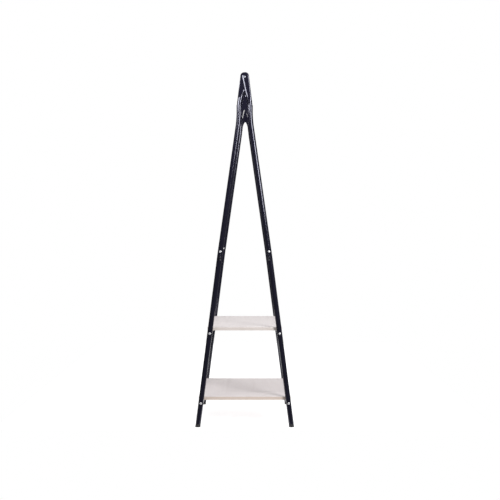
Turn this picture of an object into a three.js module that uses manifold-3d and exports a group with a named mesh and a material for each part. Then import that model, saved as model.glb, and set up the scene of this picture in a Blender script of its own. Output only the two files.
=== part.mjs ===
// Hall tree with two shelves: two A-shaped tube end frames, a top rail, shelf rails, boards and side hooks.
// Millimetres, Z up, X along the rack, Y across it, floor at Z = 0, rack centred on X = Y = 0.
import * as THREE from 'three';
import { mergeVertices } from 'three/addons/utils/BufferGeometryUtils.js';
import Module from 'manifold-3d';

const wasm = await Module();
wasm.setup();

// Overall sizes.
const HEIGHT = 1705;
const FRAME_SPACING = 600;
const FOOT_SPREAD = 453.4;
const KNEE_SPREAD = 237.4;
const TOP_SPREAD = 52.8;
const KNEE_Z = 836;
const BEND_CORNER_Z = 1482;
const BEND_REACH = 38;
const LEG_TOP_Z = 1548;

// Tubes.
const LEG_R = 12.5;
const LEG_WALL = 1.2;
const STRUT_R = 11;
const STRUT_WALL = 1.2;
const RAIL_R = 12.5;
const RAIL_WALL = 1.5;
const FIT = 0.3;
const TUBE_SIDES = 16;
const HOLE_SIDES = 8;
const APEX_HOLE_SIDES = 10;
const FASTENER_SIDES = 8;
const NUT_SIDES = 6;
const BAR_SIDES = 8;
const BEND_STEPS = 4;
const CUT_PAST = 1;

// Struts from the leg tops to the apex.
const STRUT_INSERT = 26;
const STRUT_STRAIGHT = 2;
const STRUT_BORE_TOP = 4;
const TAB_HALF_WIDTH = 17.3;
const TAB_DOME = 6.5;
const TAB_BACK = 1.5;
const TAB_OFFSET = 3.3;
const FLAT_FROM = 0.22;
const FLAT_TO = 0.62;
const PRESS_STOPS = [0.03, 0.14, 0.26, 0.38, 0.5, 0.62, 1];
const TIP_DEGREES = [30, 55, 78];
const APEX_BOLT_DROP = 23;

// Saddle brace between the two leg tops.
const SADDLE_THICKNESS = 16;
const SADDLE_PEAK = 44;
const SADDLE_TIP_R = 4;
const SADDLE_CROTCH = 22;
const SADDLE_LIMB = 70;
const SADDLE_TIP_DEGREES = [25, 52, 78];
const SADDLE_SIDE_STOPS = [0.3, 0.5, 0.7, 0.85, 1];
const SADDLE_ARCH = [[0.95, 0.1], [0.78, 0.48], [0.55, 0.73], [0.3, 0.9], [0.1, 0.985]];

// Joint sleeve inside the knee of each leg.
const SLEEVE_LENGTH = 100;
const SLEEVE_WALL = 1.5;
const SLEEVE_PLAY = 0.45;

// Feet.
const FOOT_HEAD = 14;
const FOOT_STEM = 20;
const FOOT_TRIM = 1.2;
const FOOT_LAP = 2;

// Shelves.
const LOWER_RAIL_Z = 115.4;
const UPPER_RAIL_Z = 452.6;
const BOARD_THICKNESS = 15;
const BOARD_OVERHANG = 1.5;
const BOARD_END_GAP = 0.8;
const RAIL_PLUG = 16;
const SCREW_X = 190;
const SCREW_R = 2;
const SCREW_HEAD_R = 4;
const SCREW_HEAD = 2.4;
const SCREW_BITE = 10;

// Fasteners.
const M6_R = 3;
const M6_HEAD_R = 5.5;
const M6_HEAD = 3.2;
const M8_R = 4;
const M8_HEAD_R = 6.5;
const M8_HEAD = 4;
const NUT_R = 5.8;
const NUT_LENGTH = 5;
const BOLT_PROUD = 1.5;
const BOLT_BITE = 13;
const HEAD_CROWN = 0.6;
const HEAD_SHOULDER = 0.4;

// Side hooks. The bar's line is listed as distance out from the leg and height from the bolt.
const HOOK_BOLT_RISE = 11;
const HOOK_BAR_R = 3;
const HOOK_PLATE = 3;
const HOOK_PLATE_WIDTH = 16;
const HOOK_PLATE_TOP = 10;
const HOOK_PLATE_BOTTOM = 22;
const HOOK_BALL_R = 5;
const HOOK_BALL_RINGS = 6;
const HOOK_STEPS = 12;
const HOOK_LINE = [[2, -17], [7, -19], [11, -26], [14, -36], [19, -39], [25, -36.5], [29.5, -32], [32, -24]];

const vec = (x, y, z) => new THREE.Vector3(x, y, z);

// Turns a geometry into a solid with its faces pointing outward.
function solid(geometry) {
  const bare = geometry.clone();
  bare.deleteAttribute('normal');
  bare.deleteAttribute('uv');
  const merged = mergeVertices(bare, 1e-4);
  const position = merged.attributes.position;
  const index = merged.index.array;
  const corners = [];
  let volume = 0;
  for (let i = 0; i < index.length; i += 3) {
    const [a, b, c] = [index[i], index[i + 1], index[i + 2]];
    if (a === b || b === c || c === a) continue;
    corners.push([a, b, c]);
    const pa = new THREE.Vector3().fromBufferAttribute(position, a);
    const pb = new THREE.Vector3().fromBufferAttribute(position, b);
    const pc = new THREE.Vector3().fromBufferAttribute(position, c);
    volume += pa.dot(pb.cross(pc));
  }
  const ordered = corners.map(([a, b, c]) => (volume < 0 ? [a, c, b] : [a, b, c]));
  const mesh = new wasm.Mesh({
    numProp: 3,
    vertProperties: new Float32Array(position.array),
    triVerts: new Uint32Array(ordered.flat()),
  });
  return new wasm.Manifold(mesh);
}

const join = (first, ...rest) => rest.reduce((whole, piece) => whole.add(piece), first);
const cut = (first, ...rest) => rest.reduce((whole, piece) => whole.subtract(piece), first);

// Turns a finished solid back into a geometry.
function shape(body) {
  const mesh = body.getMesh();
  const geometry = new THREE.BufferGeometry();
  const points = new Float32Array((mesh.vertProperties.length / mesh.numProp) * 3);
  for (let i = 0; i < points.length / 3; i += 1) {
    for (let k = 0; k < 3; k += 1) points[i * 3 + k] = mesh.vertProperties[i * mesh.numProp + k];
  }
  geometry.setAttribute('position', new THREE.BufferAttribute(points, 3));
  geometry.setIndex(new THREE.BufferAttribute(new Uint32Array(mesh.triVerts), 1));
  geometry.computeVertexNormals();
  return geometry;
}

// Moves a geometry made along its own Y axis so that it starts at one point and runs towards another.
function along(geometry, from, to) {
  const direction = to.clone().sub(from).normalize();
  const turn = new THREE.Quaternion().setFromUnitVectors(vec(0, 1, 0), direction);
  geometry.applyQuaternion(turn);
  geometry.translate(from.x, from.y, from.z);
  return geometry;
}

function rod(from, to, radius, sides = TUBE_SIDES) {
  const length = from.distanceTo(to);
  const geometry = new THREE.CylinderGeometry(radius, radius, length, sides);
  geometry.translate(0, length / 2, 0);
  return solid(along(geometry, from, to));
}

function pipe(from, to, outer, inner, sides = TUBE_SIDES) {
  const reach = to.clone().sub(from).normalize();
  const before = from.clone().sub(reach);
  const after = to.clone().add(reach);
  return cut(rod(from, to, outer, sides), rod(before, after, inner, sides));
}

// Turned piece: profile of [radius, height] pairs from axis to axis, heights measured from one point.
function turned(profile, from, to, sides = FASTENER_SIDES) {
  const points = profile.map(([radius, height]) => new THREE.Vector2(radius, height));
  return solid(along(new THREE.LatheGeometry(points, sides), from, to));
}

function box(low, high) {
  const size = high.clone().sub(low);
  const geometry = new THREE.BoxGeometry(size.x, size.y, size.z);
  geometry.translate((low.x + high.x) / 2, (low.y + high.y) / 2, (low.z + high.z) / 2);
  return solid(geometry);
}

// Path through listed points that keeps the spacing it was given.
class Way extends THREE.Curve {
  constructor(points) {
    super();
    this.points = points;
  }

  getPoint(t, target = new THREE.Vector3()) {
    const place = Math.min(Math.max(t, 0), 1) * (this.points.length - 1);
    const i = Math.min(Math.floor(place), this.points.length - 2);
    return target.copy(this.points[i]).lerp(this.points[i + 1], place - i);
  }

  getPointAt(u, target) {
    return this.getPoint(u, target);
  }

  getTangentAt(u, target = new THREE.Vector3()) {
    const i = Math.round(u * (this.points.length - 1));
    const next = this.points[Math.min(i + 1, this.points.length - 1)];
    const last = this.points[Math.max(i - 1, 0)];
    return target.copy(next).sub(last).normalize();
  }
}

function circle(radius, sides) {
  const points = [];
  for (let i = 0; i < sides; i += 1) {
    const angle = (2 * Math.PI * i) / sides;
    points.push(new THREE.Vector2(radius * Math.cos(angle), radius * Math.sin(angle)));
  }
  return points;
}

function bent(points, outer, inner = 0, sides = TUBE_SIDES) {
  const section = new THREE.Shape(circle(outer, sides));
  if (inner > 0) section.holes.push(new THREE.Path(circle(inner, sides).reverse()));
  const options = { steps: points.length - 1, extrudePath: new Way(points), bevelEnabled: false };
  return solid(new THREE.ExtrudeGeometry(section, options));
}

// Skin over rings of points, closed at both ends.
function loft(rings) {
  const count = rings[0].length;
  const points = rings.flat();
  const faces = [];
  for (let r = 0; r < rings.length - 1; r += 1) {
    for (let i = 0; i < count; i += 1) {
      const j = (i + 1) % count;
      const [a, b] = [r * count + i, r * count + j];
      faces.push(a, b, b + count, a, b + count, a + count);
    }
  }
  const top = (rings.length - 1) * count;
  for (let i = 1; i < count - 1; i += 1) {
    faces.push(0, i + 1, i);
    faces.push(top, top + i, top + i + 1);
  }
  const geometry = new THREE.BufferGeometry();
  const flat = new Float32Array(points.flatMap((p) => [p.x, p.y, p.z]));
  geometry.setAttribute('position', new THREE.BufferAttribute(flat, 3));
  geometry.setIndex(faces);
  return solid(geometry);
}

// Centre line of a leg, measured from the centre plane of the rack.
const footY = FOOT_SPREAD / 2;
const kneeY = KNEE_SPREAD / 2;
const topY = TOP_SPREAD / 2;
const lowerY = (z) => footY + ((kneeY - footY) * z) / KNEE_Z;
const upperY = (z) => kneeY + ((topY - kneeY) * (z - KNEE_Z)) / (BEND_CORNER_Z - KNEE_Z);
const frameX = FRAME_SPACING / 2;
const boreR = LEG_R - LEG_WALL;

// The two tubes of a leg stop short of the knee by half the fit, plus what their change of lean needs.
const lowerLean = Math.atan((footY - kneeY) / KNEE_Z);
const upperLean = Math.atan((kneeY - topY) / (BEND_CORNER_Z - KNEE_Z));
const kneeGap = FIT / 2 + LEG_R * Math.tan(Math.abs(upperLean - lowerLean) / 2);

function bendPoints() {
  const low = new THREE.Vector2(upperY(BEND_CORNER_Z - BEND_REACH), BEND_CORNER_Z - BEND_REACH);
  const corner = new THREE.Vector2(topY, BEND_CORNER_Z);
  const high = new THREE.Vector2(topY, BEND_CORNER_Z + BEND_REACH);
  return new THREE.QuadraticBezierCurve(low, corner, high).getPoints(BEND_STEPS);
}

function legY(z) {
  if (z <= KNEE_Z) return lowerY(z);
  const bend = bendPoints();
  if (z <= bend[0].y) return upperY(z);
  for (let i = 1; i < bend.length; i += 1) {
    const [a, b] = [bend[i - 1], bend[i]];
    if (z <= b.y) return a.x + ((b.x - a.x) * (z - a.y)) / (b.y - a.y);
  }
  return topY;
}

const slots = {
  frame_paint: new THREE.MeshStandardMaterial({ color: 0x1c1b22, roughness: 0.3, metalness: 0.2 }),
  shelf_wood: new THREE.MeshStandardMaterial({ color: 0xdcd5d2, roughness: 0.45 }),
  fastener_steel: new THREE.MeshStandardMaterial({ color: 0xc4c6ca, roughness: 0.3, metalness: 0.9 }),
  foot_plastic: new THREE.MeshStandardMaterial({ color: 0x111113, roughness: 0.6 }),
};
for (const [name, material] of Object.entries(slots)) material.name = name;

const group = new THREE.Group();
group.name = 'hall_tree';

function add(name, body, slot) {
  const mesh = new THREE.Mesh(shape(body), slots[slot]);
  mesh.name = name;
  group.add(mesh);
}

const ends = [['left', -1], ['right', 1]];
const sides = [['front', -1], ['rear', 1]];
const shelves = [['lower', LOWER_RAIL_Z], ['upper', UPPER_RAIL_Z]];
const hookBoltZ = KNEE_Z + HOOK_BOLT_RISE;
const apexBoltZ = HEIGHT - APEX_BOLT_DROP;
const strutZ = LEG_TOP_Z + STRUT_STRAIGHT;
const tabZ = HEIGHT - TAB_HALF_WIDTH;

// Rod along X through one end frame, used to cut a hole right across a leg.
function crossHole(ex, y, z, radius, sides = HOLE_SIDES) {
  const inner = vec(ex * (frameX - 2 * LEG_R), y, z);
  const outer = vec(ex * (frameX + 2 * LEG_R), y, z);
  return rod(inner, outer, radius, sides);
}

function lowerLeg(ex, ey) {
  const lean = vec(0, -ey * Math.sin(lowerLean), Math.cos(lowerLean));
  const axisFoot = vec(ex * frameX, ey * footY, 0);
  const knee = vec(ex * frameX, ey * kneeY, KNEE_Z).addScaledVector(lean, -kneeGap);
  const bottom = axisFoot.clone().addScaledVector(lean, FOOT_HEAD + FIT);
  const body = pipe(bottom, knee, LEG_R, boreR);
  const holes = shelves.map(([, z]) => crossHole(ex, ey * lowerY(z), z, M6_R + FIT));
  return cut(body, ...holes);
}

function upperLeg(ex, ey) {
  const startZ = KNEE_Z + kneeGap * Math.cos(upperLean);
  const flat = [new THREE.Vector2(upperY(startZ), startZ), ...bendPoints()];
  flat.push(new THREE.Vector2(topY, LEG_TOP_Z));
  const points = flat.map((p) => vec(ex * frameX, ey * p.x, p.y));
  const body = bent(points, LEG_R, boreR);
  return cut(body, crossHole(ex, ey * legY(hookBoltZ), hookBoltZ, M6_R + FIT));
}

function jointSleeve(ex, ey) {
  const half = SLEEVE_LENGTH / 2;
  const low = vec(ex * frameX, ey * lowerY(KNEE_Z - half), KNEE_Z - half);
  const high = vec(ex * frameX, ey * upperY(KNEE_Z + half), KNEE_Z + half);
  const outer = boreR - SLEEVE_PLAY;
  const body = bent([low, vec(ex * frameX, ey * kneeY, KNEE_Z), high], outer, outer - SLEEVE_WALL);
  return cut(body, crossHole(ex, ey * legY(hookBoltZ), hookBoltZ, M6_R + FIT));
}

function footCap(ex, ey) {
  const lean = vec(0, -ey * Math.sin(lowerLean), Math.cos(lowerLean));
  const rise = (LEG_R * Math.sin(lowerLean) - FOOT_TRIM) / Math.cos(lowerLean);
  const centre = vec(ex * frameX, ey * footY, 0);
  const start = centre.clone().addScaledVector(lean, rise);
  const joint = centre.clone().addScaledVector(lean, FOOT_HEAD);
  const lap = joint.clone().addScaledVector(lean, -FOOT_LAP);
  const tip = joint.clone().addScaledVector(lean, FOOT_STEM);
  const reach = 3 * LEG_R;
  const low = centre.clone().add(vec(-reach, -reach, -reach));
  const high = centre.clone().add(vec(reach, reach, 0));
  return cut(join(rod(start, joint, LEG_R), rod(lap, tip, boreR - FIT)), box(low, high));
}

// Strut: round where it plugs into the leg, pressed at the apex into a tab with a flat back and a domed face.
// The rear strut of each end turns its dome outward and the front one inward, so the flat backs meet.
function strut(ex, ey) {
  const direction = new THREE.Vector2(TAB_OFFSET - topY, tabZ - strutZ).normalize();
  const ease = (t) => THREE.MathUtils.smoothstep(t, FLAT_FROM, FLAT_TO);
  const ring = (y, z, dir, halfWidth, press) => {
    const points = [];
    const dome = STRUT_R + (TAB_DOME - STRUT_R) * press;
    const back = STRUT_R + (TAB_BACK - STRUT_R) * press;
    const seam = (TAB_BACK + FIT / 2) * press;
    for (let i = 0; i < TUBE_SIDES; i += 1) {
      const angle = (2 * Math.PI * i) / TUBE_SIDES;
      const [c, s] = [Math.cos(angle), Math.sin(angle)];
      const w = c * halfWidth;
      const t = s > 0 ? s * dome : s * back;
      points.push(vec(ex * (frameX + ey * (seam + t)), ey * (y + w * dir.y), z - w * dir.x));
    }
    return points;
  };
  const up = new THREE.Vector2(0, 1);
  const rings = [LEG_TOP_Z - STRUT_INSERT, LEG_TOP_Z].map((z) => ring(topY, z, up, STRUT_R, 0));
  for (const t of PRESS_STOPS) {
    const y = topY + (TAB_OFFSET - topY) * t;
    const z = strutZ + (tabZ - strutZ) * t;
    const wide = STRUT_R + (TAB_HALF_WIDTH - STRUT_R) * t;
    rings.push(ring(y, z, direction, wide, ease(t)));
  }
  for (const degrees of TIP_DEGREES) {
    const angle = THREE.MathUtils.degToRad(degrees);
    const rise = TAB_HALF_WIDTH * Math.sin(angle);
    const y = TAB_OFFSET + direction.x * rise;
    const z = tabZ + direction.y * rise;
    rings.push(ring(y, z, direction, TAB_HALF_WIDTH * Math.cos(angle), 1));
  }
  const foot = vec(ex * frameX, ey * topY, LEG_TOP_Z - STRUT_INSERT - CUT_PAST);
  const bore = rod(foot, vec(ex * frameX, ey * topY, LEG_TOP_Z + STRUT_BORE_TOP), STRUT_R - STRUT_WALL);
  return cut(loft(rings), crossHole(ex, 0, apexBoltZ, M8_R + FIT, APEX_HOLE_SIDES), bore);
}

// Brace: a thick web that tapers up between the struts and spreads down the inner sides of both legs.
function saddleBrace(ex) {
  const innerY = (z) => legY(z) - LEG_R - FIT;
  const peakZ = LEG_TOP_Z + SADDLE_PEAK;
  const crotchZ = LEG_TOP_Z - SADDLE_CROTCH;
  const tipZ = LEG_TOP_Z - SADDLE_LIMB;
  const right = [];
  for (const degrees of SADDLE_TIP_DEGREES) {
    const angle = THREE.MathUtils.degToRad(degrees);
    right.push([SADDLE_TIP_R * Math.sin(angle), peakZ - SADDLE_TIP_R * (1 - Math.cos(angle))]);
  }
  right.push([innerY(LEG_TOP_Z), LEG_TOP_Z]);
  for (const t of SADDLE_SIDE_STOPS) {
    const z = LEG_TOP_Z + (tipZ - LEG_TOP_Z) * t;
    right.push([innerY(z), z]);
  }
  for (const [share, rise] of SADDLE_ARCH) {
    right.push([innerY(tipZ) * share, tipZ + (crotchZ - tipZ) * rise]);
  }
  const left = right.map(([y, z]) => [-y, z]).reverse();
  const outline = [[0, peakZ], ...right, [0, crotchZ], ...left];
  const section = new THREE.Shape(outline.map(([y, z]) => new THREE.Vector2(y, z)));
  const geometry = new THREE.ExtrudeGeometry(section, { depth: SADDLE_THICKNESS, bevelEnabled: false });
  const basis = new THREE.Matrix4().makeBasis(vec(0, 1, 0), vec(0, 0, 1), vec(1, 0, 0));
  geometry.applyMatrix4(basis);
  geometry.translate(ex * frameX - SADDLE_THICKNESS / 2, 0, 0);
  return solid(geometry);
}

// Tube with a threaded plug closing each end.
function railBody(y, z, halfLength, hole) {
  const outer = pipe(vec(-halfLength, y, z), vec(halfLength, y, z), RAIL_R, RAIL_R - RAIL_WALL);
  const plugs = [-1, 1].map((s) => {
    const face = vec(s * halfLength, y, z);
    const back = vec(s * (halfLength - RAIL_PLUG), y, z);
    const plug = rod(face, back, RAIL_R - RAIL_WALL / 2);
    const mouth = vec(s * (halfLength + CUT_PAST), y, z);
    const end = vec(s * (halfLength - RAIL_PLUG - CUT_PAST), y, z);
    return cut(plug, rod(mouth, end, hole, APEX_HOLE_SIDES));
  });
  return join(outer, ...plugs);
}

const tabFace = TAB_DOME + TAB_BACK + FIT / 2;
const topRailHalf = frameX - tabFace - FIT;
const shelfRailHalf = frameX - LEG_R - FIT;

// Cap screw with a domed head: head underside at one point, shank towards the other.
function capScrew(under, towards, shankR, shankLength, headR, headHeight) {
  const profile = [
    [0, -headHeight],
    [headR * HEAD_CROWN, -headHeight],
    [headR, -headHeight * HEAD_SHOULDER],
    [headR, 0],
    [shankR, 0],
    [shankR, shankLength],
    [0, shankLength],
  ];
  return turned(profile, under, towards);
}

// Hook: a bolted plate with a round bar that dips and turns up to a ball.
function sideHook(ex, ey) {
  const y = ey * legY(hookBoltZ);
  const face = frameX + LEG_R + FIT;
  const place = ([u, v]) => vec(ex * (face + u), y, hookBoltZ + v);
  const faces = [ex * face, ex * (face + HOOK_PLATE)];
  const low = vec(Math.min(...faces), y - HOOK_PLATE_WIDTH / 2, hookBoltZ - HOOK_PLATE_BOTTOM);
  const high = vec(Math.max(...faces), y + HOOK_PLATE_WIDTH / 2, hookBoltZ + HOOK_PLATE_TOP);
  const plate = cut(box(low, high), crossHole(ex, y, hookBoltZ, M6_R + FIT));
  const spline = new THREE.CatmullRomCurve3(HOOK_LINE.map(place), false, 'centripetal');
  const bar = bent(spline.getPoints(HOOK_STEPS), HOOK_BAR_R, 0, BAR_SIDES);
  const tip = place(HOOK_LINE[HOOK_LINE.length - 1]);
  const ball = new THREE.SphereGeometry(HOOK_BALL_R, BAR_SIDES, HOOK_BALL_RINGS);
  ball.translate(tip.x, tip.y, tip.z);
  return join(plate, bar, solid(ball));
}

for (const [end, ex] of ends) {
  for (const [side, ey] of sides) {
    const tag = `${end}_${side}`;
    add(`lower_leg_${tag}`, lowerLeg(ex, ey), 'frame_paint');
    add(`upper_leg_${tag}`, upperLeg(ex, ey), 'frame_paint');
    add(`joint_sleeve_${tag}`, jointSleeve(ex, ey), 'fastener_steel');
    add(`foot_cap_${tag}`, footCap(ex, ey), 'foot_plastic');
    add(`strut_${tag}`, strut(ex, ey), 'frame_paint');
    add(`side_hook_${tag}`, sideHook(ex, ey), 'frame_paint');

    const hookY = ey * legY(hookBoltZ);
    const under = frameX + LEG_R + HOOK_PLATE + 2 * FIT;
    const nutFace = frameX - LEG_R - FIT;
    const nutBack = nutFace - NUT_LENGTH;
    const start = vec(ex * under, hookY, hookBoltZ);
    const centre = vec(0, hookY, hookBoltZ);
    const length = under - nutBack + BOLT_PROUD;
    add(`joint_bolt_${tag}`, capScrew(start, centre, M6_R, length, M6_HEAD_R, M6_HEAD), 'fastener_steel');
    const nutEnds = [vec(ex * nutFace, hookY, hookBoltZ), vec(ex * nutBack, hookY, hookBoltZ)];
    const nut = rod(...nutEnds, NUT_R, NUT_SIDES);
    const thread = rod(vec(ex * frameX, hookY, hookBoltZ), centre, M6_R + FIT, HOLE_SIDES);
    add(`joint_nut_${tag}`, cut(nut, thread), 'fastener_steel');

    for (const [shelf, z] of shelves) {
      const y = ey * lowerY(z);
      const head = vec(ex * (frameX + LEG_R + FIT), y, z);
      const bolt = capScrew(head, vec(0, y, z), M6_R, 2 * LEG_R + BOLT_BITE, M6_HEAD_R, M6_HEAD);
      add(`shelf_bolt_${shelf}_${tag}`, bolt, 'fastener_steel');
    }
  }
  add(`saddle_brace_${end}`, saddleBrace(ex), 'frame_paint');
  const outerFace = frameX + tabFace + FIT;
  const apexLength = outerFace - topRailHalf + BOLT_BITE;
  const apexUnder = vec(ex * outerFace, 0, apexBoltZ);
  const apex = capScrew(apexUnder, vec(0, 0, apexBoltZ), M8_R, apexLength, M8_HEAD_R, M8_HEAD);
  add(`apex_bolt_${end}`, apex, 'fastener_steel');
}

add('top_rail', railBody(0, apexBoltZ, topRailHalf, M8_R + FIT), 'frame_paint');

for (const [shelf, z] of shelves) {
  const boardBottom = z + RAIL_R + FIT;
  const boardTop = boardBottom + BOARD_THICKNESS;
  const boardHalfX = frameX - LEG_R - BOARD_END_GAP;
  const boardHalfY = lowerY((boardBottom + boardTop) / 2) + LEG_R + BOARD_OVERHANG;
  const railY = lowerY(z);
  const screwLength = boardBottom - (z - RAIL_R) + SCREW_BITE;
  const pilots = [];
  for (const [side, ey] of sides) {
    const holes = [];
    for (const [end, ex] of ends) {
      const x = ex * SCREW_X;
      const y = ey * railY;
      holes.push(rod(vec(x, y, z - 2 * RAIL_R), vec(x, y, z + 2 * RAIL_R), SCREW_R + FIT, HOLE_SIDES));
      const pilotTop = vec(x, y, boardBottom + SCREW_BITE + CUT_PAST);
      pilots.push(rod(vec(x, y, boardBottom - CUT_PAST), pilotTop, SCREW_R + FIT, HOLE_SIDES));
      const under = vec(x, y, z - RAIL_R - FIT);
      const screw = capScrew(under, vec(x, y, z), SCREW_R, screwLength, SCREW_HEAD_R, SCREW_HEAD);
      add(`shelf_screw_${shelf}_${end}_${side}`, screw, 'fastener_steel');
    }
    const rail = cut(railBody(ey * railY, z, shelfRailHalf, M6_R + FIT), ...holes);
    add(`shelf_rail_${shelf}_${side}`, rail, 'frame_paint');
  }
  const board = box(vec(-boardHalfX, -boardHalfY, boardBottom), vec(boardHalfX, boardHalfY, boardTop));
  add(`shelf_board_${shelf}`, cut(board, ...pilots), 'shelf_wood');
}

export default group;
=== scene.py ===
# %% [markdown]
# # A hall tree, piece by piece
# This lesson dresses a bolted tube rack: two A-shaped end frames, a hanging rail, two shelves and four
# hooks. The engineering model comes in first as a fixed frame. Every piece made here takes its place from
# that frame and stands for one of its nodes, so nothing has to be fitted afterwards.

# %% Load the frame
import math
import random

import bmesh
import bpy
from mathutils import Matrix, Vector


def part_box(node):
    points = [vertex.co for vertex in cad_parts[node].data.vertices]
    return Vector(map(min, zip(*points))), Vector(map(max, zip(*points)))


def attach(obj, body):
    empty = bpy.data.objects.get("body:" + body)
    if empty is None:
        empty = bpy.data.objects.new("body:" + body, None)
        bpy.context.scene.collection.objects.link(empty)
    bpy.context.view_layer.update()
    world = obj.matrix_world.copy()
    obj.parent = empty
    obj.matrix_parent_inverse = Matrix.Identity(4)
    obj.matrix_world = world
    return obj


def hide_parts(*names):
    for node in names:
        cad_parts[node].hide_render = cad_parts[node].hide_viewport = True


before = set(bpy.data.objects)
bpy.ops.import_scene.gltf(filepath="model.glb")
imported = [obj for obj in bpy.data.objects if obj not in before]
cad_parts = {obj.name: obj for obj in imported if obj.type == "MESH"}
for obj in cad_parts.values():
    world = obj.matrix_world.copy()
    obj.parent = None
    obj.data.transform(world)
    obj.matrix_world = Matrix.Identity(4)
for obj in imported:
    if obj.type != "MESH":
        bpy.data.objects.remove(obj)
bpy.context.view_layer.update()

scene = bpy.context.scene

# %% [markdown]
# ## Millimetres and the four corners
# A tube maker thinks in millimetres and Blender works in metres, so one factor turns the first into the
# second. The rack has two ends, left and right along X, and two sides, front and rear along Y. Looping over
# both gives the four legs.

# %% Units and corners
MM = 0.001
ENDS = (("left", -1), ("right", 1))
SIDES = (("front", -1), ("rear", 1))
CORNERS = [(f"{end}_{side}", ex, ey) for end, ex in ENDS for side, ey in SIDES]
ACROSS = Vector((1, 0, 0))
DEPTH = Vector((0, 1, 0))
UP = Vector((0, 0, 1))

# %% [markdown]
# ## Skins over rings
# Almost everything on this rack is round stock: tube, rod, turned bolts. All of it can be drawn as a row of
# rings joined by quads. One helper makes such a skin. Rings that close on themselves make a hollow tube,
# and rings with a cap at each end make a solid bar. Working from rings keeps the quads even, and the edges
# can carry a real rounding. Long thin quads beside a narrow lip would smear the shading along the whole
# tube, so every piece gets a modifier that weighs its normals by the size of the faces around them.

# %% Ring skins
def skin(name, rings, material, hollow=False, crease=35):
    count = len(rings[0])
    points = [p for ring in rings for p in ring]
    faces = []
    last = len(rings) if hollow else len(rings) - 1
    for r in range(last):
        a, b = r * count, ((r + 1) % len(rings)) * count
        for i in range(count):
            j = (i + 1) % count
            faces.append((a + i, a + j, b + j, b + i))
    if not hollow:
        faces.append(tuple(range(count))[::-1])
        faces.append(tuple(range(len(points) - count, len(points))))
    mesh = bpy.data.meshes.new(name)
    mesh.from_pydata(points, [], faces)
    work = bmesh.new()
    work.from_mesh(mesh)
    bmesh.ops.recalc_face_normals(work, faces=work.faces)
    work.to_mesh(mesh)
    work.free()
    return as_piece(name, mesh, material, crease)


def as_piece(name, mesh, material, crease=35):
    mesh.polygons.foreach_set("use_smooth", [True] * len(mesh.polygons))
    mesh.set_sharp_from_angle(angle=math.radians(crease))
    mesh.materials.append(material)
    piece = bpy.data.objects.new(name, mesh)
    scene.collection.objects.link(piece)
    shading = piece.modifiers.new("weighted_normals", "WEIGHTED_NORMAL")
    shading.keep_sharp = True
    return piece


def settle(piece, slot, *nodes):
    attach(piece, "root")
    if nodes:
        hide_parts(*nodes)
    return piece


def disc(centre, u, v, radius, count=48):
    steps = [2 * math.pi * i / count for i in range(count)]
    return [centre + u * radius * math.cos(a) + v * radius * math.sin(a) for a in steps]

# %% [markdown]
# ## Reading a centre line
# The frame's tubes are faceted, but the middle of every ring of points lies exactly on the tube's centre
# line. Sorting the points along the tube and splitting them at the gaps gives those rings back, and with
# them the line that the smooth tube has to follow.

# %% Centre lines from the frame
RING_GAP = 3 * MM


def centre_line(node):
    points = sorted((v.co.copy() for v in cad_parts[node].data.vertices), key=lambda p: p.z)
    rings = [[points[0]]]
    for p in points[1:]:
        if p.z - rings[-1][-1].z > RING_GAP:
            rings.append([])
        rings[-1].append(p)
    middles = []
    for ring in rings:
        low = Vector([min(p[k] for p in ring) for k in range(3)])
        high = Vector([max(p[k] for p in ring) for k in range(3)])
        middles.append((low + high) / 2)
    return middles


def directions(path):
    found = []
    for i in range(len(path)):
        ahead = path[min(i + 1, len(path) - 1)]
        behind = path[max(i - 1, 0)]
        found.append((ahead - behind).normalized())
    return found

# %% [markdown]
# ## Steel tube
# A sawn tube end is never razor sharp: it is brushed before painting, and the paint rounds it further. So
# each end gets a small lip, both outside and inside, and the bore is really open. The wall thickness then
# shows wherever a strut leaves its socket.

# %% Tube builder
LIP = 0.5 * MM


def tube(name, path, side, outer, inner, material, count=48):
    ways = directions(path)
    stations = [path[0], path[0] + ways[0] * LIP, *path[1:-1], path[-1] - ways[-1] * LIP, path[-1]]
    turns = [ways[0], ways[0], *ways[1:-1], ways[-1], ways[-1]]
    trims = [LIP * 0.7] + [0.0] * (len(stations) - 2) + [LIP * 0.7]
    rings = []
    for centre, way, trim in zip(stations, turns, trims):
        rings.append(disc(centre, side, way.cross(side), outer - trim, count))
    for centre, way, trim in list(zip(stations, turns, trims))[::-1]:
        rings.append(disc(centre, side, way.cross(side), inner + trim, count))
    return skin(name, rings, material, hollow=True)


def bar(name, path, side, radii, material, count=24):
    rings = []
    for centre, way, radius in zip(path, directions(path), radii):
        rings.append(disc(centre, side, way.cross(side), radius, count))
    return skin(name, rings, material)

# %% [markdown]
# ## Turned pieces
# Bolts, nuts, screws and feet are turned or headed about an axis. Their rings need not be circles: a ring
# can be a hexagon or a cross with the same number of points, and that is how a key socket sinks into a bolt
# head without any boolean cut.

# %% Turned builder
def circle_at(radius):
    return lambda angle: radius


def hexagon_at(across_flats, soften=0.0):
    def radius(angle):
        nearest = (angle % (math.pi / 3)) - math.pi / 6
        sharp = across_flats / 2 / math.cos(nearest)
        return sharp * (1 - soften) + across_flats / 2 * 1.06 * soften
    return radius


def cross_at(arm, half_slot):
    def radius(angle):
        c, s = abs(math.cos(angle)), abs(math.sin(angle))
        return min(arm / max(c, s), half_slot / max(min(c, s), 0.01))
    return radius


def turned(name, start, axis, stages, material, count=48, crease=35):
    axis = axis.normalized()
    u = axis.orthogonal().normalized()
    v = axis.cross(u)
    rings = []
    for height, radius in stages:
        ring = []
        for i in range(count):
            angle = 2 * math.pi * i / count
            reach = radius(angle)
            ring.append(start + axis * height + (u * math.cos(angle) + v * math.sin(angle)) * reach)
        rings.append(ring)
    return skin(name, rings, material, crease=crease)

# %% [markdown]
# ## Finishes: a small kit for node materials
# Each finish is procedural. A helper adds a node and sets its inputs by name, which keeps the recipes short
# enough to read as recipes.

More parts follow.
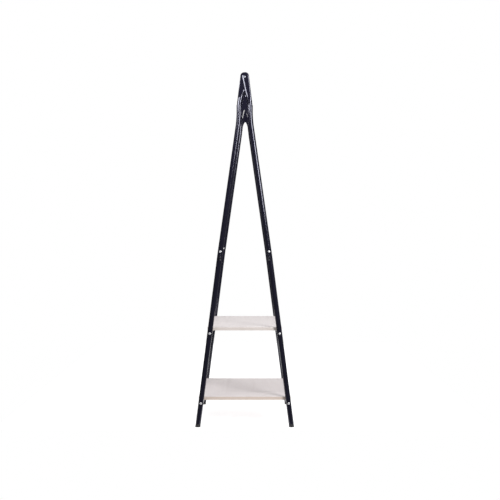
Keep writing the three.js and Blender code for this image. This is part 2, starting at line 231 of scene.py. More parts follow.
# %% Material kit
def graded(tree, source, reach, result):
    node = tree.nodes.new("ShaderNodeMapRange")
    for key, value in zip(("From Min", "From Max", "To Min", "To Max"), (*reach, *result)):
        node.inputs[key].default_value = value
    tree.links.new(source, node.inputs["Value"])
    return node.outputs["Result"]


class Finish:
    def __init__(self, name):
        self.material = bpy.data.materials.new(name)
        self.material.use_nodes = True
        self.tree = self.material.node_tree
        self.surface = self.tree.nodes["Principled BSDF"]
        self.place = self.add("ShaderNodeTexCoord").outputs["Object"]

    def add(self, kind, links=None, **settings):
        node = self.tree.nodes.new(kind)
        for key, value in settings.items():
            if key in node.inputs:
                node.inputs[key].default_value = value
            else:
                setattr(node, key, value)
        for key, source in (links or {}).items():
            self.tree.links.new(source, node.inputs[key])
        return node

    def stretched(self, scale):
        return self.add("ShaderNodeMapping", {"Vector": self.place}, Scale=scale).outputs["Vector"]

    def noise(self, scale, detail=3.0, roughness=0.5, vector=None, distortion=0.0):
        node = self.add("ShaderNodeTexNoise", {"Vector": vector or self.place}, Scale=scale, Detail=detail,
                        Roughness=roughness, Distortion=distortion)
        return node.outputs["Fac"]

    def ramp(self, source, stops):
        node = self.add("ShaderNodeValToRGB", {"Fac": source})
        while len(node.color_ramp.elements) < len(stops):
            node.color_ramp.elements.new(0.5)
        for element, (place, colour) in zip(node.color_ramp.elements, stops):
            element.position = place
            element.color = (*colour, 1.0)
        return node.outputs["Color"]

    def spread(self, source, low, high):
        return graded(self.tree, source, (0.3, 0.7), (low, high))

    def multiply(self, factor, first, second):
        node = self.add("ShaderNodeMix", data_type="RGBA", blend_type="MULTIPLY")
        self.tree.links.new(factor, node.inputs["Factor"])
        self.tree.links.new(first, node.inputs[6])
        self.tree.links.new(second, node.inputs[7])
        return node.outputs[2]

    def feed(self, socket, source):
        self.tree.links.new(source, self.surface.inputs[socket])

    def set(self, **values):
        for key, value in values.items():
            self.surface.inputs[key.replace("_", " ")].default_value = value

    def relief(self, *layers):
        normal = None
        for height, strength, distance in layers:
            node = self.add("ShaderNodeBump", {"Height": height}, Strength=strength, Distance=distance)
            if normal is not None:
                self.tree.links.new(normal, node.inputs["Normal"])
            normal = node.outputs["Normal"]
        self.feed("Normal", normal)

# %% [markdown]
# ## Satin black powder coat
# The frame is sprayed with powder and baked. The coat flows into a faint orange peel about a millimetre
# across, it is almost black with a trace of violet, and its gloss wanders a little from place to place.
# Fine dust in the powder gives the smallest grain. The tint of the specular light carries the violet into
# the highlights.

# %% Powder coat
COAT_DEEP = (0.0042, 0.0038, 0.0095)
COAT_PALE = (0.0060, 0.0054, 0.0130)
COAT_GLINT = (0.84, 0.85, 1.0, 1.0)


def powder_coat():
    coat = Finish("satin_black_powder_coat")
    broad = coat.noise(14.0, detail=4.0)
    peel = coat.noise(900.0, detail=2.0)
    dust = coat.noise(4200.0, detail=1.0)
    coat.feed("Base Color", coat.ramp(broad, [(0.3, COAT_DEEP), (0.7, COAT_PALE)]))
    coat.feed("Roughness", coat.spread(coat.noise(55.0, detail=3.0), 0.13, 0.18))
    coat.relief((peel, 0.10, 0.25 * MM), (dust, 0.05, 0.08 * MM))
    coat.set(Specular_IOR_Level=0.5, Specular_Tint=COAT_GLINT)
    return coat.material


paint = powder_coat()

# %% [markdown]
# ## Bleached wood laminate
# The shelves are particle board faced with a printed wood laminate: pale, slightly pink, with long soft
# grain and a few darker growth lines, all running the length of the shelf. Stretching the noise along X
# makes the grain, and a second, tighter noise makes the pores that the press embosses into the sheet. The
# edge bands are a little warmer than the face. The lower shelf's band is a darker copy, which is painted
# shade: it stands for the shade the lower shelf sits in under the upper one.

# %% Laminate
def laminate(name, light, dark, line):
    face = Finish(name)
    long_flow = face.stretched((0.9, 9.0, 9.0))
    fine_flow = face.stretched((6.0, 170.0, 170.0))
    pore_flow = face.stretched((38.0, 900.0, 900.0))
    cloud = face.noise(1.6, detail=5.0, vector=long_flow, distortion=0.6)
    grain = face.noise(2.0, detail=6.0, roughness=0.62, vector=fine_flow)
    pores = face.noise(1.0, detail=2.0, vector=pore_flow)
    base = face.ramp(cloud, [(0.30, dark), (0.50, light), (0.72, dark)])
    rings = face.add("ShaderNodeTexWave", {"Vector": long_flow}, wave_type="BANDS", bands_direction="Y",
                     Scale=1.15, Distortion=9.0, Detail=4.0)
    veins = face.ramp(rings.outputs["Fac"], [(0.0, line), (0.10, light), (1.0, light)])
    veined = face.multiply(face.spread(grain, 0.10, 0.45), base, veins)
    streaks = face.ramp(grain, [(0.30, (0.90, 0.88, 0.87)), (0.62, (1.0, 1.0, 1.0))])
    amount = face.spread(pores, 0.55, 0.95)
    face.feed("Base Color", face.multiply(amount, veined, streaks))
    face.feed("Roughness", face.spread(grain, 0.30, 0.42))
    face.relief((grain, 0.12, 0.15 * MM), (pores, 0.18, 0.08 * MM))
    face.set(Specular_IOR_Level=0.45, Coat_Weight=0.12, Coat_Roughness=0.22)
    return face.material


shelf_face = laminate("bleached_wood_laminate", (0.775, 0.735, 0.735), (0.73, 0.685, 0.685),
                      (0.735, 0.685, 0.68))
shelf_edges = {
    "upper": laminate("edge_band_upper", (0.66, 0.61, 0.585), (0.62, 0.57, 0.54), (0.64, 0.59, 0.56)),
    # The lower band's darker colour is painted shade, for the shade under the upper shelf.
    "lower": laminate("edge_band_lower_painted_shade", (0.65, 0.565, 0.51), (0.61, 0.52, 0.465), (0.63, 0.54, 0.49)),
}

# %% [markdown]
# ## Zinc plated fasteners and moulded feet
# Zinc plating is bright but not a mirror: it keeps the fine turning marks of the head. The plating on the
# frame's bolts is new and pale, and scatters so much of its light that it is only about half metallic
# here. The apex bolts get a much darker copy of the zinc, which is painted shade: it dims the highlight on
# their heads. The feet are matt black plastic with the soft spark-eroded grain of their mould.

# %% Zinc, plastic
def zinc_plate(name, dark, light, low, high, metal):
    zinc = Finish(name)
    cloud = zinc.noise(260.0, detail=3.0)
    marks = zinc.noise(2600.0, detail=2.0)
    zinc.feed("Base Color", zinc.ramp(cloud, [(0.3, dark), (0.7, light)]))
    zinc.feed("Roughness", zinc.spread(cloud, low, high))
    zinc.relief((marks, 0.12, 0.05 * MM))
    zinc.set(Metallic=metal)
    return zinc.material


def moulded_plastic():
    plastic = Finish("matt_black_moulded_plastic")
    grain = plastic.noise(1700.0, detail=2.0)
    scuff = plastic.noise(120.0, detail=4.0)
    tint = plastic.ramp(scuff, [(0.35, (0.009, 0.009, 0.010)), (0.75, (0.020, 0.020, 0.022))])
    plastic.feed("Base Color", tint)
    plastic.feed("Roughness", plastic.spread(scuff, 0.45, 0.62))
    plastic.relief((grain, 0.35, 0.12 * MM))
    plastic.set(Specular_IOR_Level=0.35)
    return plastic.material


zinc = zinc_plate("bright_zinc_plate", (0.60, 0.61, 0.63), (0.80, 0.80, 0.81), 0.26, 0.42, 0.55)
# The apex bolts' zinc is a darker copy: painted shade that dims the highlight on their heads.
painted_shade_zinc = zinc_plate("zinc_plate_with_painted_shade", (0.20, 0.21, 0.24), (0.27, 0.28, 0.31), 0.36, 0.48, 1.0)
plastic = moulded_plastic()

# %% [markdown]
# ## The legs
# Each leg is two lengths of 25 mm tube that meet at a knee, so that the rack ships in a short box. The
# lower one is straight. The upper one is straight too, until it bends upright to receive its strut. The
# frame only gives a few rings of that bend, so the bend is drawn again as one smooth curve between the two
# straight stretches.

# %% Legs
LEG_R = 12.5 * MM
LEG_BORE = 11.3 * MM
BEND_STEPS = 20


def smooth_bend(path):
    start, first, last, end = path[0], path[-6], path[-2], path[-1]
    rise = (first - start).normalized()
    corner = first + rise * ((last.y - first.y) / rise.y)
    points = [start]
    for i in range(BEND_STEPS + 1):
        t = i / BEND_STEPS
        points.append(first * (1 - t) ** 2 + corner * 2 * t * (1 - t) + last * t ** 2)
    points.append(end)
    return points


leg_lines = {}
for tag, ex, ey in CORNERS:
    low = centre_line(f"lower_leg_{tag}")
    high = smooth_bend(centre_line(f"upper_leg_{tag}"))
    leg_lines[tag] = (low, high)
    for part, line in (("lower", low), ("upper", high)):
        leg = tube(f"leg_tube_{part}_{tag}", line, ACROSS, LEG_R, LEG_BORE, paint)
        settle(leg, "frame_paint", f"{part}_leg_{tag}")
upper_line = leg_lines["right_rear"][1]
print("legs: knee at", round(upper_line[0].z, 4), "m, top at", round(upper_line[-1].z, 4), "m")

# %% [markdown]
# ## The struts
# A strut starts as 22 mm tube in the socket of the leg top. Towards the apex a press forms it into a tab
# with a flat back and a domed face, and the round end is cropped. The press leaves a ridge along the inner
# side of the face. The two tabs of an end frame lie back to back, and one bolt clamps both against the
# hanging rail. Each ring of the skin blends from the round section to the pressed one, which is what the
# press itself does.

# %% Struts
STRUT_R = 11.0 * MM
STRUT_INSERT = 26.0 * MM
TAB_HALF = 17.3 * MM
TAB_DOME = 6.5 * MM
TAB_BACK = 1.5 * MM
TAB_LEAN = 3.3 * MM
SEAM = 0.15 * MM
PRESS_FROM, PRESS_TO = 0.22, 0.62
RIDGE_FROM, RIDGE_TO = 0.02, 0.30
RIDGE = -0.3
RIDGE_FALL = 0.12
STRUT_SIDES = 96
STRUT_STEPS = 28
FIRST_STEP = 0.03
TIP_DEGREES = (10, 20, 30, 40, 50, 60, 68, 76, 83, 88)
LEG_TOP = upper_line[-1].copy()
FRAME_X = LEG_TOP.x
RACK_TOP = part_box("strut_right_rear")[1].z


def smooth_step(t, low, high):
    t = min(max((t - low) / (high - low), 0.0), 1.0)
    return t * t * (3 - 2 * t)


def ridge_profile(u):
    if u < RIDGE:
        return math.sqrt(max(0.0, 1 - ((RIDGE - u) / (1 + RIDGE)) ** 2))
    far = (u - RIDGE) / (1 - RIDGE)
    return math.sqrt(max(0.0, 1 - far ** 10)) * (1 - RIDGE_FALL * far)


def strut_ring(ex, ey, y, z, way, half, press, thin=1.0, ridge=1.0):
    dome = (STRUT_R + (TAB_DOME - STRUT_R) * press) * thin
    back = STRUT_R + (TAB_BACK - STRUT_R) * press
    offset = (TAB_BACK + SEAM) * press
    points = []
    for i in range(STRUT_SIDES):
        angle = 2 * math.pi * i / STRUT_SIDES
        u, s = math.cos(angle), math.sin(angle)
        w = u * half
        if s > 0:
            s += (ridge_profile(u) - s) * ridge
        t = s * (dome if s > 0 else back)
        x = ex * (FRAME_X + ey * (offset + t))
        points.append(Vector((x, ey * (y + w * way[1]), z - w * way[0])))
    return points


def strut(tag, ex, ey):
    y0, z0 = LEG_TOP.y, LEG_TOP.z + 2 * MM
    y1, z1 = TAB_LEAN, RACK_TOP - TAB_HALF
    length = math.hypot(y1 - y0, z1 - z0)
    way = ((y1 - y0) / length, (z1 - z0) / length)
    rings = [strut_ring(ex, ey, y0, LEG_TOP.z - STRUT_INSERT, (0, 1), STRUT_R, 0, ridge=0.0)]
    rings.append(strut_ring(ex, ey, y0, LEG_TOP.z - 1 * MM, (0, 1), STRUT_R, 0, ridge=0.0))
    for i in range(STRUT_STEPS + 1):
        t = FIRST_STEP + (1 - FIRST_STEP) * i / STRUT_STEPS
        y, z = y0 + (y1 - y0) * t, z0 + (z1 - z0) * t
        half = STRUT_R + (TAB_HALF - STRUT_R) * t
        press, ridge = smooth_step(t, PRESS_FROM, PRESS_TO), smooth_step(t, RIDGE_FROM, RIDGE_TO)
        rings.append(strut_ring(ex, ey, y, z, way, half, press, ridge=ridge))
    for degrees in TIP_DEGREES:
        angle = math.radians(degrees)
        rise = TAB_HALF * math.sin(angle)
        y, z = y1 + way[0] * rise, z1 + way[1] * rise
        thin = 0.45 + 0.55 * math.sqrt(math.cos(angle))
        rings.append(strut_ring(ex, ey, y, z, way, TAB_HALF * math.cos(angle), 1, thin))
    return skin(f"strut_pressed_{tag}", rings, paint, crease=40)


for tag, ex, ey in CORNERS:
    settle(strut(tag, ex, ey), "frame_paint", f"strut_{tag}")
print("struts: top of the rack at", round(RACK_TOP, 4), "m")

# %% [markdown]
# ## Saddle braces and their welds
# Between the two leg tops of an end frame sits a thick arched web, which stops the legs from spreading. It
# is drawn as an outline in the plane of the frame: a rounded peak that rises between the struts, sides that
# slope out to the leg tops and then follow the legs, and an arch below. A bead of weld runs down each
# corner where the web meets a tube. A real bead is a row of overlapping ripples, so its radius swells and
# shrinks along its length.

# %% Saddle braces
SADDLE_THICK = 16 * MM
SADDLE_PEAK = 44 * MM
SADDLE_TIP_R = 4 * MM
SADDLE_EASE = 2.4 * MM
SADDLE_CROTCH = 22 * MM
SADDLE_LIMB = 70 * MM
SADDLE_STEPS = 40
WEB_TIP, WEB_FLANK = 0.2, 0.5
WEB_TURN = 78
TOUCH = 0.3 * MM
WELD_R = 2.0 * MM
WELD_STEP = 0.45 * MM
WELD_SIDES = 14
RIPPLE = 0.13
RIPPLE_RINGS = 4
WELD_OUT = 11.2 * MM
WELD_LOW, WELD_HIGH = LEG_TOP.z - 62 * MM, LEG_TOP.z - 4 * MM


def leg_y(z):
    for a, b in zip(upper_line, upper_line[1:]):
        if z <= b.z:
            return a.y + (b.y - a.y) * (z - a.z) / (b.z - a.z)
    return upper_line[-1].y


def web_edge(t):
    top, peak = LEG_TOP.z, LEG_TOP.z + SADDLE_PEAK
    if t < WEB_TIP:
        angle = math.radians(WEB_TURN) * t / WEB_TIP
        return SADDLE_TIP_R * math.sin(angle), peak - SADDLE_TIP_R * (1 - math.cos(angle))
    if t < WEB_FLANK:
        y, z = web_edge(WEB_TIP - 0.001)
        share = (t - WEB_TIP) / (WEB_FLANK - WEB_TIP)
        return y + (leg_y(top) - LEG_R - TOUCH - y) * share, z + (top - z) * share
    z = top - SADDLE_LIMB * (t - WEB_FLANK) / (1 - WEB_FLANK)
    return leg_y(z) - LEG_R - TOUCH, z


def saddle_stations():
    tip, crotch = LEG_TOP.z - SADDLE_LIMB, LEG_TOP.z - SADDLE_CROTCH
    half = []
    for i in range(SADDLE_STEPS + 1):
        t = i / SADDLE_STEPS
        arch = math.pi / 2 * t
        y = (leg_y(tip) - LEG_R - 1.2 * MM) * math.sin(arch) ** 1.3
        z = crotch + (tip - crotch) * (1 - math.cos(arch))
        half.append((web_edge(t), (y, z)))
    mirrored = [((-o[0], o[1]), (-i[0], i[1])) for o, i in half[:0:-1]]
    return mirrored + half


def rounded_section(centre, u, v, half_u, half_v, corner, per_corner=6):
    corner = min(corner, half_u * 0.95, half_v * 0.95)
    points = []
    for su, sv, start in ((1, 1, 0), (-1, 1, 90), (-1, -1, 180), (1, -1, 270)):
        for k in range(per_corner):
            a = math.radians(start + 90 * k / (per_corner - 1))
            across = su * (half_u - corner) + corner * math.cos(a)
            along = sv * (half_v - corner) + corner * math.sin(a)
            points.append(centre + u * across + v * along)
    return points


def saddle(end, ex):
    rings = []
    for (oy, oz), (iy, iz) in saddle_stations():
        outer = Vector((ex * FRAME_X, oy, oz))
        inner = Vector((ex * FRAME_X, iy, iz))
        span = outer - inner
        middle, up = (outer + inner) / 2, span.normalized()
        rings.append(rounded_section(middle, ACROSS, up, SADDLE_THICK / 2, span.length / 2, SADDLE_EASE))
    return skin(f"saddle_web_{end}", rings, paint, crease=50)


def weld(name, path, side, radius, seed):
    ripple = random.Random(seed)
    ways = directions(path)
    rings = []
    for i, (centre, way) in enumerate(zip(path, ways)):
        swell = 1 + RIPPLE * math.cos(2 * math.pi * i / RIPPLE_RINGS) + ripple.uniform(-0.05, 0.05)
        ends = min(i, len(path) - 1 - i) / RIPPLE_RINGS
        bead_r = radius * swell * min(1.0, 0.35 + 0.65 * ends)
        rings.append(disc(centre, side, way.cross(side), bead_r, WELD_SIDES))
    return skin(name, rings, paint, crease=70)


def weld_path(ex, ey, face):
    steps = int((WELD_HIGH - WELD_LOW) / WELD_STEP)
    x = ex * FRAME_X + face * (SADDLE_THICK / 2 - 0.4 * MM)
    path = []
    for i in range(steps + 1):
        z = WELD_LOW + (WELD_HIGH - WELD_LOW) * i / steps
        path.append(Vector((x, ey * (leg_y(z) - WELD_OUT), z)))
    return path


for end, ex in ENDS:
    settle(saddle(end, ex), "frame_paint", f"saddle_brace_{end}")
    for side, ey in SIDES:
        for word, face in (("inner", -ex), ("outer", ex)):
            path = weld_path(ex, ey, face)
            bead = weld(f"saddle_weld_{end}_{side}_{word}", path, ACROSS, WELD_R, len(path) + ex + ey)
            settle(bead, "frame_paint")
print("saddles: arch", round(SADDLE_CROTCH / MM), "mm below the leg tops")

# %% [markdown]
# ## Rails
# The hanging rail and the four shelf rails are plain tube. A threaded plug is pressed into each end for the
# bolt, and it shows only as a ring inside the end of the tube. A rail's centre line needs just its two
# ends, so it can come from the frame's box.

# %% Rails
RAIL_R = 12.5 * MM
RAIL_BORE = 11.0 * MM
PLUG_SINK = 1.2 * MM
PLUG_LENGTH = 16 * MM
RAIL_STEPS = 12
TOP_BOLT_HOLE = 4.3 * MM
SHELF_BOLT_HOLE = 3.3 * MM


def rail(node, label, hole_r):
    low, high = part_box(node)
    y, z = (low.y + high.y) / 2, (low.z + high.z) / 2
    path = [Vector((low.x + (high.x - low.x) * i / RAIL_STEPS, y, z)) for i in range(RAIL_STEPS + 1)]
    settle(tube(f"{label}_tube", path, DEPTH, RAIL_R, RAIL_BORE, paint), "frame_paint", node)
    for end, ex in ENDS:
        mouth = Vector((high.x if ex > 0 else low.x, y, z)) - ACROSS * ex * PLUG_SINK
        plug_path = [mouth, mouth - ACROSS * ex * PLUG_LENGTH]
        plug = tube(f"{label}_plug_{end}", plug_path, DEPTH, RAIL_BORE + 0.05 * MM, hole_r, zinc, 32)
        settle(plug, "fastener_steel")


rail("top_rail", "hanging_rail", TOP_BOLT_HOLE)
for shelf in ("lower", "upper"):
    for side, ey in SIDES:
        rail(f"shelf_rail_{shelf}_{side}", f"shelf_rail_{shelf}_{side}", SHELF_BOLT_HOLE)

# %% [markdown]
# ## Shelf boards
# A board is a core with laminate above and below, and a thin band glued round its four edges. Making the
# bands as separate strips gives the fine line where band meets face, and the strips can take their own,
# warmer colour. A small bevel eases every arris, as the trimming cutter does.

# %% Boards
BAND = 0.9 * MM
BAND_EASE = 0.35 * MM
CORE_EASE = 0.25 * MM
BAND_STEP = Vector((0, 0, 0.05 * MM))


def slab(name, low, high, material, easing):
    work = bmesh.new()
    bmesh.ops.create_cube(work, size=1.0)
    for v in work.verts:
        v.co = Vector([low[k] if v.co[k] < 0 else high[k] for k in range(3)])
    bmesh.ops.bevel(work, geom=work.edges[:], offset=easing, segments=3, profile=0.5, affect="EDGES")
    mesh = bpy.data.meshes.new(name)
    work.to_mesh(mesh)
    work.free()
    return as_piece(name, mesh, material, 50)


for shelf in ("lower", "upper"):
    node = f"shelf_board_{shelf}"
    low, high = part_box(node)
    inset = Vector((BAND, BAND, 0))
    core = slab(f"board_core_{shelf}", low + inset, high - inset, shelf_face, CORE_EASE)
    settle(core, "shelf_wood", node)
    strips = []
    for end, ex in ENDS:
        x0 = low.x if ex < 0 else high.x - BAND
        strips.append((end, Vector((x0, low.y, low.z)), Vector((x0 + BAND, high.y, high.z))))
    for side, ey in SIDES:
        y0 = low.y if ey < 0 else high.y - BAND
        strips.append((side, Vector((low.x + BAND, y0, low.z)), Vector((high.x - BAND, y0 + BAND, high.z))))
    for word, start, finish in strips:
        name = f"board_band_{shelf}_{word}"
        band = slab(name, start + BAND_STEP, finish - BAND_STEP, shelf_edges[shelf], BAND_EASE)
        settle(band, "shelf_wood")
    print(shelf, "board:", [round(c / MM) for c in high - low], "mm, top at", round(high.z, 4))

# %% [markdown]
# ## Bolts, nuts and screws
# Button-head bolts hold the frame. The head is a low dome with a hexagon socket. The shelf screws are pan
# heads with a cross recess, driven up through the rails. Both domes come from one helper, which turns a
# quarter curve into rings. The nuts have a chamfer on both faces. All take their place from the frame: the
# top of a head is at the far side of the node's box.

# %% Fasteners
APEX_BOLT = {"head_r": 6.5 * MM, "head": 4.0 * MM, "shank_r": 4.0 * MM, "key": 5.0 * MM}
FRAME_BOLT = {"head_r": 5.5 * MM, "head": 3.2 * MM, "shank_r": 3.0 * MM, "key": 4.0 * MM}
SCREW = {"head_r": 4.0 * MM, "head": 2.4 * MM, "shank_r": 2.0 * MM}
NUT_FLATS = 10.0 * MM
NUT_BORE = 3.05 * MM


def crown(head_r, head, wall, top, steps, quarter):
    stages = []
    for i in range(1, steps):
        angle = math.radians(90 * i / quarter)
        height = -head * (wall + (1 - wall) * math.sin(angle))
        stages.append((height, circle_at(head_r * (top + (1 - top) * math.cos(angle)))))
    return stages


def button_bolt(name, under, way, length, material, head_r, head, shank_r, key):
    stages = [(length, circle_at(shank_r * 0.8)), (length - 1 * MM, circle_at(shank_r))]
    stages += [(0.0, circle_at(shank_r)), (0.0, circle_at(head_r * 0.97)), (-0.15 * head, circle_at(head_r))]
    stages += crown(head_r, head, 0.22, 0.28, 9, 9.6)
    lip = key / 2 * 1.2
    stages.append((-head, circle_at(lip * 1.04)))
    stages.append((-head * 0.985, hexagon_at(key, 0.15)))
    stages.append((-head * 0.90, hexagon_at(key)))
    stages.append((-head * 0.28, hexagon_at(key)))
    stages.append((-head * 0.20, circle_at(key * 0.22)))
    return turned(name, under, way, stages, material)


def lock_nut(name, start, way, across_flats, thick, bore, material):
    chamfer = 0.6 * MM
    flat_r = across_flats / 2
    stages = [(0.0, circle_at(bore)), (0.0, circle_at(flat_r * 0.97)), (chamfer, hexagon_at(across_flats))]
    stages += [(thick * 0.62, hexagon_at(across_flats)), (thick * 0.72, circle_at(flat_r * 0.98))]
    stages += [(thick * 0.95, circle_at(flat_r * 0.90)), (thick, circle_at(flat_r * 0.84))]
    stages.append((thick, circle_at(bore * 1.05)))
    return turned(name, start, way, stages, material)


def pan_screw(name, under, way, length, material, head_r, head, shank_r):
    stages = [(length, circle_at(0.15 * shank_r)), (length - 4 * MM, circle_at(shank_r * 0.9))]
    stages += [(0.0, circle_at(shank_r)), (0.0, circle_at(head_r * 0.95)), (-0.2 * head, circle_at(head_r))]
    stages += crown(head_r, head, 0.25, 0.42, 7, 7.5)
    stages.append((-head, cross_at(head_r * 0.52, head_r * 0.13)))
    stages.append((-head * 0.35, cross_at(head_r * 0.40, head_r * 0.10)))
    return turned(name, under, way, stages, material, count=64)


def bolt_from(node, label, ex, size, material):
    low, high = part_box(node)
    y, z = (low.y + high.y) / 2, (low.z + high.z) / 2
    outer, inner = (high.x, low.x) if ex > 0 else (low.x, high.x)
    under = Vector((outer - ex * size["head"], y, z))
    length = abs(outer - inner) - size["head"]
    piece = button_bolt(label, under, -ACROSS * ex, length, material, **size)
    return settle(piece, "fastener_steel", node)


for end, ex in ENDS:
    bolt_from(f"apex_bolt_{end}", f"apex_button_bolt_{end}", ex, APEX_BOLT, painted_shade_zinc)
for tag, ex, ey in CORNERS:
    bolt_from(f"joint_bolt_{tag}", f"joint_button_bolt_{tag}", ex, FRAME_BOLT, zinc)
    for shelf in ("lower", "upper"):
        bolt_from(f"shelf_bolt_{shelf}_{tag}", f"shelf_button_bolt_{shelf}_{tag}", ex, FRAME_BOLT, zinc)
        low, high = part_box(f"shelf_screw_{shelf}_{tag}")
        under = Vector(((low.x + high.x) / 2, (low.y + high.y) / 2, low.z + SCREW["head"]))
        screw = pan_screw(f"shelf_pan_screw_{shelf}_{tag}", under, UP, high.z - under.z, zinc, **SCREW)
        settle(screw, "fastener_steel", f"shelf_screw_{shelf}_{tag}")
    low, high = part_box(f"joint_nut_{tag}")
    face = Vector((high.x if ex > 0 else low.x, (low.y + high.y) / 2, (low.z + high.z) / 2))
    nut = lock_nut(f"joint_lock_nut_{tag}", face, -ACROSS * ex, NUT_FLATS, high.x - low.x, NUT_BORE, zinc)
    settle(nut, "fastener_steel", f"joint_nut_{tag}")
print("fasteners: bolts, nuts and screws in place")

# %% [markdown]
# ## Side hooks
# Each hook is a small plate under the head of the knee bolt, with a round bar welded to its foot. The bar
# dips and turns up to a ball, so that a strap can't slide off and a coat isn't marked. A smooth spline
# through a few chosen points makes the bar: each point is given in millimetres out from the leg and up
# from the bolt. The radius flares where the weld joins the bar to the plate.

# %% Hooks
PLATE = 3 * MM
PLATE_WIDE = 16 * MM
PLATE_CORNER = 5 * MM
PLATE_DROP = 22 * MM
PLATE_EASE = 0.7 * MM
PLATE_CORNER_STEPS = 8
HOOK_BAR_R = 3 * MM
BALL_R = 5 * MM
BALL_RINGS = 17
HOOK_STEPS = 8
FLARE = 1.8 * MM
FLARE_RINGS = 9
HOOK_LINE = ((2, -17), (7, -19), (11, -26), (14, -36), (19, -39), (25, -36.5), (29.5, -32), (32, -24))


def spline(points, steps):
    path = []
    for i in range(len(points) - 1):
        p0 = points[max(i - 1, 0)]
        p1, p2 = points[i], points[i + 1]
        p3 = points[min(i + 2, len(points) - 1)]
        for k in range(steps):
            t = k / steps
            a, b = (p2 - p0) * 0.5, (p3 - p1) * 0.5
            start = p1 * (2 * t**3 - 3 * t**2 + 1) + a * (t**3 - 2 * t**2 + t)
            path.append(start + p2 * (3 * t**2 - 2 * t**3) + b * (t**3 - t**2))
    path.append(points[-1])
    return path


def rounded_plate(name, face_x, ex, low, high, material):
    y0, y1, z0, z1 = low.y, high.y, low.z, high.z

    def ring(x, shrink):
        points = []
        r = PLATE_CORNER - shrink
        for cy, cz, start in ((y1, z1, 0), (y0, z1, 90), (y0, z0, 180), (y1, z0, 270)):
            my = cy - PLATE_CORNER if cy == y1 else cy + PLATE_CORNER
            mz = cz - PLATE_CORNER if cz == z1 else cz + PLATE_CORNER
            for k in range(PLATE_CORNER_STEPS + 1):
                a = math.radians(start + 90 * k / PLATE_CORNER_STEPS)
                points.append(Vector((x, my + r * math.cos(a), mz + r * math.sin(a))))
        return points

    stages = [(0, PLATE_EASE), (0.2, 0.3 * PLATE_EASE), (0.5, 0.08 * PLATE_EASE), (1.0, 0.0)]
    rings = [ring(face_x + ex * PLATE_EASE * rise, inward) for rise, inward in stages]
    rings += [ring(face_x + ex * (PLATE - PLATE_EASE * rise), inward) for rise, inward in stages[::-1]]
    return skin(name, rings, material)


def side_hook(tag, ex, ey):
    low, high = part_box(f"side_hook_{tag}")
    bolt_low, bolt_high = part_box(f"joint_bolt_{tag}")
    bolt_z = (bolt_low.z + bolt_high.z) / 2
    y = (low.y + high.y) / 2
    face = low.x if ex > 0 else high.x
    plate_low = Vector((0, y - PLATE_WIDE / 2, bolt_z - PLATE_DROP))
    plate_high = Vector((0, y + PLATE_WIDE / 2, high.z))
    plate = rounded_plate(f"hook_plate_{tag}", face, ex, plate_low, plate_high, paint)
    settle(plate, "frame_paint", f"side_hook_{tag}")
    knots = [Vector((face + ex * u * MM, y, bolt_z + v * MM)) for u, v in HOOK_LINE]
    path = spline(knots, HOOK_STEPS)
    radii = [HOOK_BAR_R + FLARE * max(0.0, 1 - i / FLARE_RINGS) ** 2 for i in range(len(path))]
    settle(bar(f"hook_bar_{tag}", path, DEPTH, radii, paint), "frame_paint")
    centre = path[-1]
    stages = []
    for i in range(BALL_RINGS):
        angle = math.pi * (i + 0.5) / BALL_RINGS
        stages.append((-BALL_R * math.cos(angle), circle_at(BALL_R * math.sin(angle))))
    settle(turned(f"hook_ball_{tag}", centre, UP, stages, paint, count=32, crease=80), "frame_paint")


for tag, ex, ey in CORNERS:
    side_hook(tag, ex, ey)
hook_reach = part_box("side_hook_right_rear")[1].x - FRAME_X
print("hooks: ball tips stand", round(hook_reach / MM, 1), "mm out from the frame")

# %% [markdown]
# ## Feet and sleeves
# The feet are plastic plugs: a ribbed stem pushed into the tube and a head that carries on the tube's
# line, with a fine parting groove between the two. The leg leans, so only the inner edge of the foot
# touches the floor, and that edge has a small flat. Cutting the turned skin with the floor plane makes
# the flat exactly level. The sleeves inside the knees already have the right shape, so they stay as the
# frame gives them and only take the zinc.

# %% Feet
FOOT_HEAD = 14 * MM
FOOT_R = LEG_R - 0.2 * MM
FOOT_SEAM = 0.3 * MM
FOOT_PAST = 2 * MM
FOOT_EASE = 1.0 * MM
FOOT_GROOVE = 0.35 * MM
STEM_R = 10.9 * MM
STEM_RIBS = 5


def foot(tag, ex, ey):
    low_line = leg_lines[tag][0]
    way = (low_line[-1] - low_line[0]).normalized()
    joint = low_line[0] - way * FOOT_SEAM
    depth = FOOT_HEAD + FOOT_PAST
    stages = [(20 * MM, circle_at(9.6 * MM)), (18.5 * MM, circle_at(STEM_R))]
    for k in range(STEM_RIBS):
        stages += [((16 - 3 * k) * MM, circle_at(STEM_R)), ((14.6 - 3 * k) * MM, circle_at(10.2 * MM))]
    stages += [(-0.1 * MM, circle_at(FOOT_R - FOOT_GROOVE)), (-0.4 * MM, circle_at(FOOT_R))]
    stages += [(-depth + 1.2 * MM, circle_at(FOOT_R)), (-depth, circle_at(FOOT_R - FOOT_EASE))]
    piece = turned(f"foot_plug_{tag}", joint, way, stages, plastic)
    work = bmesh.new()
    work.from_mesh(piece.data)
    whole = work.verts[:] + work.edges[:] + work.faces[:]
    cut = bmesh.ops.bisect_plane(work, geom=whole, plane_co=(0, 0, 0), plane_no=(0, 0, -1), clear_outer=True)
    edges = [g for g in cut["geom_cut"] if isinstance(g, bmesh.types.BMEdge)]
    if edges:
        bmesh.ops.contextual_create(work, geom=edges)
    bmesh.ops.recalc_face_normals(work, faces=work.faces)
    work.to_mesh(piece.data)
    work.free()
    piece.data.polygons.foreach_set("use_smooth", [True] * len(piece.data.polygons))
    piece.data.set_sharp_from_angle(angle=math.radians(35))
    return settle(piece, "foot_plastic", f"foot_cap_{tag}")


for tag, ex, ey in CORNERS:
    foot(tag, ex, ey)
    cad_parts[f"joint_sleeve_{tag}"].material_slots[0].material = zinc
print("feet: four plugs, flats at floor level")

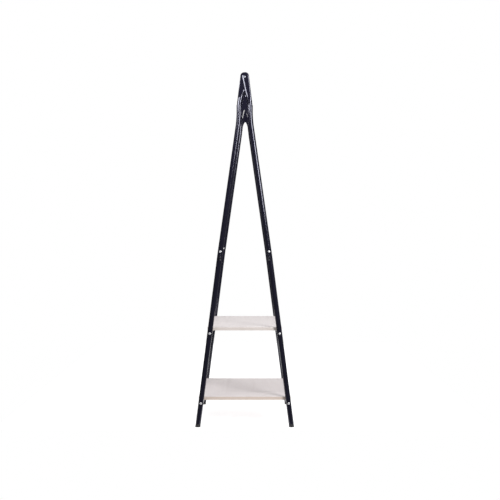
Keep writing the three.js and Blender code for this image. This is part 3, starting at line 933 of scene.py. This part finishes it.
# %% [markdown]
# ## Floor, light and camera
# A plain white studio. The background is white to the eye, but the paint mirrors a dim room, so each tube
# stays dark in its middle. The surfaces that scatter light get it from a wall that is brighter at the far
# end, which keeps the shelves pale. The floor glows a little, so that it stays white, and it ends just in
# front of the feet, so that the legs don't mirror it. A broad soft box hangs overhead. A tall one on the
# right draws the thin bright line on each leg, and a small one near the apex on the left picks out the
# ridge of the strut.

# %% Stage
FLOOR_FRONT, FLOOR_BACK, FLOOR_HALF = 0.36, -3.0, 1.2
FLOOR_GAP = 0.5 * MM
FLOOR_GLOW = 0.6
WHITE = (1.0, 1.0, 1.0, 1.0)


def studio_floor():
    white = Finish("studio_floor_white")
    mottled = white.ramp(white.noise(3.0), [(0.3, (0.54, 0.54, 0.54)), (0.7, (0.56, 0.56, 0.56))])
    white.feed("Base Color", mottled)
    white.set(Roughness=0.9, Specular_IOR_Level=0.1, Emission_Color=WHITE, Emission_Strength=FLOOR_GLOW)
    mesh = bpy.data.meshes.new("studio_floor")
    corners = [(FLOOR_BACK, -FLOOR_HALF, 0), (FLOOR_FRONT, -FLOOR_HALF, 0)]
    corners += [(FLOOR_FRONT, FLOOR_HALF, 0), (FLOOR_BACK, FLOOR_HALF, 0)]
    mesh.from_pydata(corners, [], [(0, 1, 2, 3)])
    floor = as_piece("studio_floor", mesh, white.material)
    floor.location.z = -FLOOR_GAP


def joined(tree, operation, first, second):
    node = tree.nodes.new("ShaderNodeMath")
    node.operation = operation
    tree.links.new(first, node.inputs[0])
    tree.links.new(second, node.inputs[1])
    return node.outputs["Value"]


def studio_world():
    world = bpy.data.worlds.new("studio_white")
    world.use_nodes = True
    scene.world = world
    tree = world.node_tree
    background = tree.nodes["Background"]
    place = tree.nodes.new("ShaderNodeTexCoord")
    split = tree.nodes.new("ShaderNodeSeparateXYZ")
    ray = tree.nodes.new("ShaderNodeLightPath")
    tree.links.new(place.outputs["Generated"], split.inputs["Vector"])
    room = graded(tree, split.outputs["X"], (-0.35, -0.9), (0.16, 0.22))
    wall = graded(tree, split.outputs["X"], (0.6, -0.6), (0.45, 1.60))
    fill = joined(tree, "MULTIPLY", ray.outputs["Is Diffuse Ray"], wall)
    plain = joined(tree, "MAXIMUM", ray.outputs["Is Camera Ray"], fill)
    tree.links.new(joined(tree, "MAXIMUM", plain, room), background.inputs["Strength"])
    background.inputs["Color"].default_value = WHITE


def soft_box(name, place, target, size, radiance):
    light = bpy.data.lights.new(name, "AREA")
    light.shape = "RECTANGLE"
    light.size, light.size_y = size
    light.energy = radiance * math.pi * size[0] * size[1]
    holder = bpy.data.objects.new(name, light)
    holder.location = place
    holder.rotation_euler = (Vector(target) - Vector(place)).to_track_quat("-Z", "Y").to_euler()
    holder.visible_camera = False
    scene.collection.objects.link(holder)


studio_floor()
studio_world()
soft_box("overhead_soft_box", (0.0, 0.0, 4.2), (0, 0, 0), (5.0, 5.0), 0.42)
soft_box("right_soft_box", (2.87, 1.90, 2.13), (0.3, 0.0, 1.75), (1.1, 1.6), 25.0)
soft_box("left_soft_box", (0.72, -0.43, 1.69), (0.3, 0.0, 1.66), (0.34, 0.2), 26.0)

# %% [markdown]
# The camera looks along the rack at its end frame, from about a metre off the floor and pitched down by
# less than two degrees. A long lens keeps the far frame only a little smaller than the near one.

# %% Camera
EYE = Vector((5.105, 0.0230, 0.9955))
PITCH = math.radians(1.68)
YAW = math.radians(0.03)
camera_data = bpy.data.cameras.new("camera")
camera_data.lens = 72.0
camera_data.sensor_width = 36.0
camera = bpy.data.objects.new("camera", camera_data)
camera.location = EYE
camera.rotation_euler = (math.pi / 2 - PITCH, 0.0, math.pi / 2 - YAW)
scene.collection.objects.link(camera)
scene.camera = camera
scene.view_settings.view_transform = "Standard"
